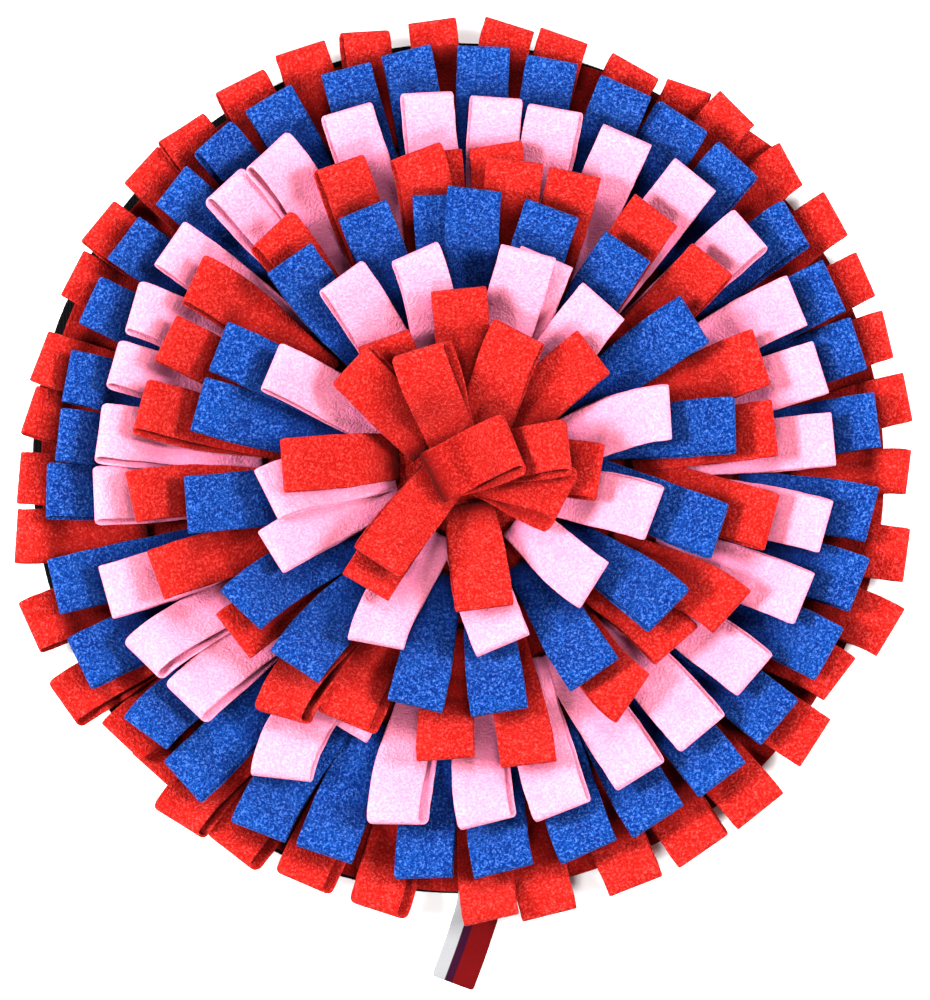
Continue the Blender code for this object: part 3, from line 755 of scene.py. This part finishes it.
def laying_order(loops):
    """Places of a ring's loops in the order in which they are laid."""
    def turn_from_first(loop):
        back = (LAID_FIRST - loop.bearing) % 360.0
        return back if back <= LAID_FIRST - LAID_LAST else 720.0 - back
    return sorted(range(len(loops)), key=lambda i: (loops[i].level, turn_from_first(loops[i])))


def heading_of(bearing, slant, width):
    """Direction that a fold faces, from how unequally its corners reach."""
    return polar(bearing - math.degrees(math.atan2(slant, width)), 1.0)


def add_strip(shape, points):
    """A flat grid whose corners are carried to their places on the strip."""
    rows, columns, _ = points.shape
    grid = bmesh.ops.create_grid(
        shape, x_segments=columns - 1, y_segments=rows - 1, size=0.5, calc_uvs=True,
    )
    for vert in grid["verts"]:
        column = round((vert.co.x + 0.5) * (columns - 1))
        row = round((vert.co.y + 0.5) * (rows - 1))
        vert.co = Vector(points[row, column, :3]) * MM
        # each point's painted shade
        vert[shape.verts.layers.float["deep"]] = points[row, column, 3]


def new_shape():
    shape = bmesh.new()
    shape.loops.layers.uv.new("UVMap")
    # room for each point's painted shade
    shape.verts.layers.float.new("deep")
    return shape


def finish_piece(shape, name, material, thickness=None):
    """Makes the object; an open cloth gets its thickness and rounded edges."""
    mesh = bpy.data.meshes.new(name)
    shape.to_mesh(mesh)
    shape.free()
    mesh.materials.append(material)
    mesh.shade_smooth()
    piece = bpy.data.objects.new(name, mesh)
    bpy.context.scene.collection.objects.link(piece)
    if thickness:
        solidify = piece.modifiers.new("cloth thickness", "SOLIDIFY")
        solidify.thickness = thickness
        solidify.offset = 0.0
        soften = piece.modifiers.new("soft edges", "SUBSURF")
        soften.levels = 1
        soften.render_levels = 1
    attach(piece, "root")
    return piece


# ================================================================== operators
bed = Bed()


class SNUFFLEMAT_OT_base(bpy.types.Operator):
    """Lay the black backing and the red ground cloth on it"""
    bl_idname = "snufflemat.base"
    bl_label = "Base cloths"

    def execute(self, context):
        colours = context.scene.snufflemat_colours
        sizes = context.scene.snufflemat_sizes
        finishes = {
            "backing": backing_finish("black backing", colours.backing),
            "ground_cloth": fleece_finish("red ground fleece", colours.red, NAPS["red"], sizes),
        }
        bed.height[:] = 0.0
        for cloth in BASE_CLOTHS:
            low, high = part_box(cloth.node)
            radius = (high[0] - low[0]) / 2 + cloth.growth * MM
            shape = self.make_disc(radius, low[2], high[2], cloth.shift)
            piece = finish_piece(shape, cloth.node + "_cloth", finishes[cloth.node])
            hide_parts(cloth.node)
            2 * radius
            2 * radius
            math.pi * radius ** 2
            bed.lay_disc(radius / MM, high[2] / MM)
        return {"FINISHED"}

    def make_disc(self, radius, low, high, shift):
        """A round cloth with a softly turned edge that isn't quite even."""
        shape = new_shape()
        turn = (high - low) / 3
        reaches = [*np.linspace(0.0, radius - 2 * turn, DISC_RINGS), radius - turn * 0.3, radius]
        outline = [(reach, high) for reach in reaches[:-1]] + [(radius, high - turn)]
        outline += [(reach, low + high - z) for reach, z in reversed(outline)]
        points = [shape.verts.new((reach, 0.0, z)) for reach, z in outline]
        lines = [shape.edges.new(pair) for pair in zip(points, points[1:])]
        bmesh.ops.spin(shape, geom=points + lines, axis=(0, 0, 1), cent=(0, 0, 0),
                       angle=2 * math.pi, steps=DISC_SPOKES, use_merge=True)
        bmesh.ops.remove_doubles(shape, verts=shape.verts, dist=1e-6)
        bmesh.ops.recalc_face_normals(shape, faces=shape.faces)
        for vert in shape.verts:
            spin = math.atan2(vert.co.y, vert.co.x)
            uneven = 1 - DISC_RAGGED * (1 + math.sin(7 * spin) * math.cos(3 * spin + 1))
            vert.co.xy *= uneven
        bmesh.ops.translate(shape, verts=shape.verts, vec=(shift[0] * MM, shift[1] * MM, 0.0))
        return shape


def eased_line(line, rows):
    """Points spread evenly along a line, its corners eased, and the line's length."""
    travelled = np.hypot(*np.diff(line[:, :2], axis=0).T)
    stations = np.concatenate(((0.0,), np.cumsum(travelled)))
    along = np.linspace(0.0, stations[-1], rows)
    eased = np.stack([np.interp(along, stations, values) for values in line.T], axis=-1)
    for _ in range(3):
        eased[1:-1] = (eased[:-2] + 2 * eased[1:-1] + eased[2:]) / 4
    return eased, stations[-1]


class SNUFFLEMAT_OT_label(bpy.types.Operator):
    """Lay the ribbon label out from under the loops"""
    bl_idname = "snufflemat.label"
    bl_label = "Ribbon label"

    def execute(self, context):
        colours = context.scene.snufflemat_colours
        sizes = context.scene.snufflemat_sizes
        line, length = eased_line(np.array(LABEL_LINE), LABEL_ROWS)
        direction = np.gradient(line[:, :2], axis=0)
        direction /= np.hypot(*direction.T)[:, None]
        across = np.linspace(-1.0, 1.0, LABEL_COLUMNS)[None, :] * LABEL_WIDTH / 2
        x = line[:, :1] - direction[:, 1:] * across
        y = line[:, 1:2] + direction[:, :1] * across
        z = line[:, 2:] + LABEL_WAVE * (1 + unevenness(x, y, 3.1, LABEL_WAVE_LENGTH))
        shape = new_shape()
        add_strip(shape, np.stack((x, y, z, np.zeros_like(z)), axis=-1))
        bmesh.ops.reverse_faces(shape, faces=shape.faces)
        stripes = (colours.stripe_left, colours.stripe_middle, colours.stripe_right)
        finish = ribbon_finish("striped ribbon", stripes)
        piece = finish_piece(shape, "label_ribbon", finish, sizes.ribbon)
        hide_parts("label")
        bed.cover(x, y, z + sizes.ribbon / MM / 2)
        return {"FINISHED"}


def strip_size(course):
    """Width and whole length of a loop's strip laid flat, mm."""
    return course.width, 2 * math.hypot(*(course.tip - course.root)) + course.fold


def declare_loops(node, slot, strips):
    """Hides the piece's CAD part; its strips, each (width, length), are summed into one long
    strip's length and mean width, which are not used.
    """
    length = sum(strip[1] for strip in strips)
    width = sum(strip[0] * strip[1] for strip in strips) / length
    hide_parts(node)
    width * MM
    length * MM


class SNUFFLEMAT_OT_rings(bpy.types.Operator):
    """Lay the six rings of loops, the outer one first"""
    bl_idname = "snufflemat.rings"
    bl_label = "Rings of loops"

    def execute(self, context):
        sizes = context.scene.snufflemat_sizes
        colours = context.scene.snufflemat_colours
        finishes = {
            name: fleece_finish(name + " fleece", getattr(colours, name), nap, sizes)
            for name, nap in NAPS.items()
        }
        below = "ground_cloth"
        for number, ring in enumerate(RINGS):
            self.lay_ring(ring, sizes, finishes[ring.colour], random.Random(number), below)
            below = ring.name
        return {"FINISHED"}

    def lay_ring(self, ring, sizes, finish, draw, below):
        loops = sorted((Loop(*row) for row in ring.loops), key=lambda loop: loop.bearing)
        roots = root_bearings(loops)
        shape = new_shape()
        near_seam = []
        strips = []
        for place in laying_order(loops):
            course = self.course(ring, loops[place], roots[place], sizes, draw)
            points, top = lay_loop(bed, course, sizes)
            add_strip(shape, points)
            first_covering = max(1, round(ROOT_ZONE * len(top[0])))
            bed.cover_beside(*(values[first_covering:] for values in top))
            near_seam.append([values[:first_covering + 1] for values in top])
            strips.append(strip_size(course))
        bed.end_ring()
        for part in near_seam:
            bed.cover(*part)
        piece = finish_piece(shape, ring.name + "_loops", finish, sizes.fleece)
        declare_loops(ring.name, "fleece_" + ring.colour, strips)

    def course(self, ring, loop, root_bearing, sizes, draw):
        lean = float(np.interp(loop.bearing, LEAN_BEARINGS, LEAN_GAPES))
        tucked = TUCKED_SPRING if loop.level == UNDER else 1
        return Course(
            root=polar(root_bearing, ring.seam),
            tip=polar(loop.bearing, loop.reach),
            heading=heading_of(loop.bearing, loop.slant, loop.width),
            width=loop.width,
            share=ring.share,
            spread=ring.spread,
            gape=loop.gape + lean * draw.uniform(*LEAN_SPREAD),
            fold=sizes.fold / MM * draw.uniform(*FOLD_SPREAD),
            free=ring.free,
            spring=sizes.spring / MM * draw.uniform(*SPRING_SPREAD) * tucked,
            seed=draw.uniform(0.0, 50.0),
        )


class SNUFFLEMAT_OT_rosette(bpy.types.Operator):
    """Lay the rosette of red loops over the middle"""
    bl_idname = "snufflemat.rosette"
    bl_label = "Rosette"

    def execute(self, context):
        sizes = context.scene.snufflemat_sizes
        colours = context.scene.snufflemat_colours
        draw = random.Random(ROSETTE_SEED)
        shape = new_shape()
        strips = []
        for petal in ROSETTE:
            crown = petal is ROSETTE[-1]
            course = Course(
                root=np.array((petal.root_x, petal.root_y)),
                tip=polar(petal.bearing, petal.reach),
                heading=heading_of(petal.bearing, petal.slant, petal.width),
                width=petal.width,
                share=CROWN_SHARE if crown else PETAL_SHARE,
                spread=PETAL_SPREAD,
                gape=petal.gape,
                fold=sizes.fold / MM * draw.uniform(*PETAL_FOLD_SPREAD),
                free=PETAL_FREE * petal.reach,
                spring=sizes.spring / MM * draw.uniform(*PETAL_SPRING_SPREAD),
                seed=draw.uniform(0.0, 50.0),
            )
            points, top = lay_loop(bed, course, sizes, petal.root_z)
            add_strip(shape, points)
            first_covering = round(PETAL_ROOT_ZONE * len(top[0]))
            bed.cover(*(values[first_covering:] for values in top))
            strips.append(strip_size(course))
        finish = fleece_finish("red rosette fleece", colours.red, NAPS["red"], sizes)
        piece = finish_piece(shape, "rosette_red_loops", finish, sizes.fleece)
        declare_loops("rosette_red", "fleece_red", strips)
        return {"FINISHED"}


class SNUFFLEMAT_OT_depths(bpy.types.Operator):
    """Record on each cloth the painted shade that its points get from lying low between and under
    the others, and inside their own loops
    """
    bl_idname = "snufflemat.depths"
    bl_label = "Depths"

    def execute(self, context):
        for piece in context.scene.objects:
            if piece.name != "ground_cloth_cloth" and not piece.name.endswith("_loops"):
                continue
            places = np.empty(len(piece.data.vertices) * 3)
            piece.data.vertices.foreach_get("co", places)
            x, y, z = places.reshape(-1, 3).T / MM
            depths = piece.data.attributes["deep"].data
            inside = np.empty(len(depths))
            depths.foreach_get("value", inside)
            depths.foreach_set("value", np.maximum(bed.deepness(x, y, z), INSIDE * inside))
        return {"FINISHED"}


class SNUFFLEMAT_OT_stage(bpy.types.Operator):
    """Set up the pale floor, the soft lights and the camera straight above"""
    bl_idname = "snufflemat.stage"
    bl_label = "Stage"

    def execute(self, context):
        stage = context.scene.snufflemat_stage
        self.make_floor(stage)
        self.make_lights(stage)
        self.make_camera(context.scene, stage)
        context.scene.world = self.make_surroundings(stage)
        context.scene.view_settings.view_transform = "Standard"
        return {"FINISHED"}

    def make_surroundings(self, stage):
        world = bpy.data.worlds.new("soft surroundings")
        world.use_nodes = True
        background = world.node_tree.nodes["Background"]
        background.inputs["Color"].default_value = (1.0, 1.0, 1.0, 1.0)
        background.inputs["Strength"].default_value = stage.fill
        return world

    def make_floor(self, stage):
        shape = new_shape()
        bmesh.ops.create_grid(shape, x_segments=4, y_segments=4, size=FLOOR_HALF, calc_uvs=True)
        bmesh.ops.translate(shape, verts=shape.verts, vec=(0, 0, -FLOOR_DROP))
        mesh = bpy.data.meshes.new("floor")
        shape.to_mesh(mesh)
        shape.free()
        mesh.materials.append(stage_finish("pale floor", stage.floor))
        floor = bpy.data.objects.new("floor", mesh)
        bpy.context.scene.collection.objects.link(floor)

    def make_lights(self, stage):
        for name, place, share in LIGHTS:
            lamp = bpy.data.lights.new(name, "AREA")
            lamp.shape = "SQUARE"
            lamp.size = LIGHT_SIZE
            lamp.energy = stage.sides * share
            light = bpy.data.objects.new(name, lamp)
            light.location = place
            light.rotation_euler = (-Vector(place)).to_track_quat("-Z", "Y").to_euler()
            bpy.context.scene.collection.objects.link(light)

    def make_camera(self, scene, stage):
        """Straight above the middle of the view, with a long lens."""
        lens = bpy.data.cameras.new("camera")
        lens.sensor_fit = "VERTICAL"
        lens.sensor_height = SENSOR
        lens.lens = SENSOR * stage.camera_height / stage.view_height
        lens.clip_end = 50.0
        camera = bpy.data.objects.new("camera", lens)
        camera.location = (*VIEW_CENTRE, stage.camera_height + VIEW_LEVEL)
        scene.collection.objects.link(camera)
        scene.camera = camera


class SNUFFLEMAT_PT_panel(bpy.types.Panel):
    """Lists the mat's pieces in the order in which they are laid"""
    bl_idname = "SNUFFLEMAT_PT_panel"
    bl_label = "Snuffle mat"
    bl_space_type = "VIEW_3D"
    bl_region_type = "UI"
    bl_category = "Snuffle mat"

    def draw(self, context):
        for operator in OPERATORS:
            self.layout.operator(operator.bl_idname)
        for group, kind in SETTINGS.items():
            for name in kind.__annotations__:
                self.layout.prop(getattr(context.scene, group), name)


OPERATORS = (
    SNUFFLEMAT_OT_base, SNUFFLEMAT_OT_label, SNUFFLEMAT_OT_rings,
    SNUFFLEMAT_OT_rosette, SNUFFLEMAT_OT_depths, SNUFFLEMAT_OT_stage,
)
SETTINGS = {
    "snufflemat_sizes": MatSizes,
    "snufflemat_colours": MatColours,
    "snufflemat_stage": MatStage,
}


def register():
    for group, kind in SETTINGS.items():
        bpy.utils.register_class(kind)
        setattr(bpy.types.Scene, group, PointerProperty(type=kind))
    for kind in (*OPERATORS, SNUFFLEMAT_PT_panel):
        bpy.utils.register_class(kind)


def unregister():
    for kind in (*OPERATORS, SNUFFLEMAT_PT_panel):
        bpy.utils.unregister_class(kind)
    for group, kind in SETTINGS.items():
        delattr(bpy.types.Scene, group)
        bpy.utils.unregister_class(kind)


def main():
    register()
    bpy.ops.snufflemat.base()
    bpy.ops.snufflemat.label()
    bpy.ops.snufflemat.rings()
    bpy.ops.snufflemat.rosette()
    bpy.ops.snufflemat.depths()
    bpy.ops.snufflemat.stage()


if __name__ == "__main__":
    main()
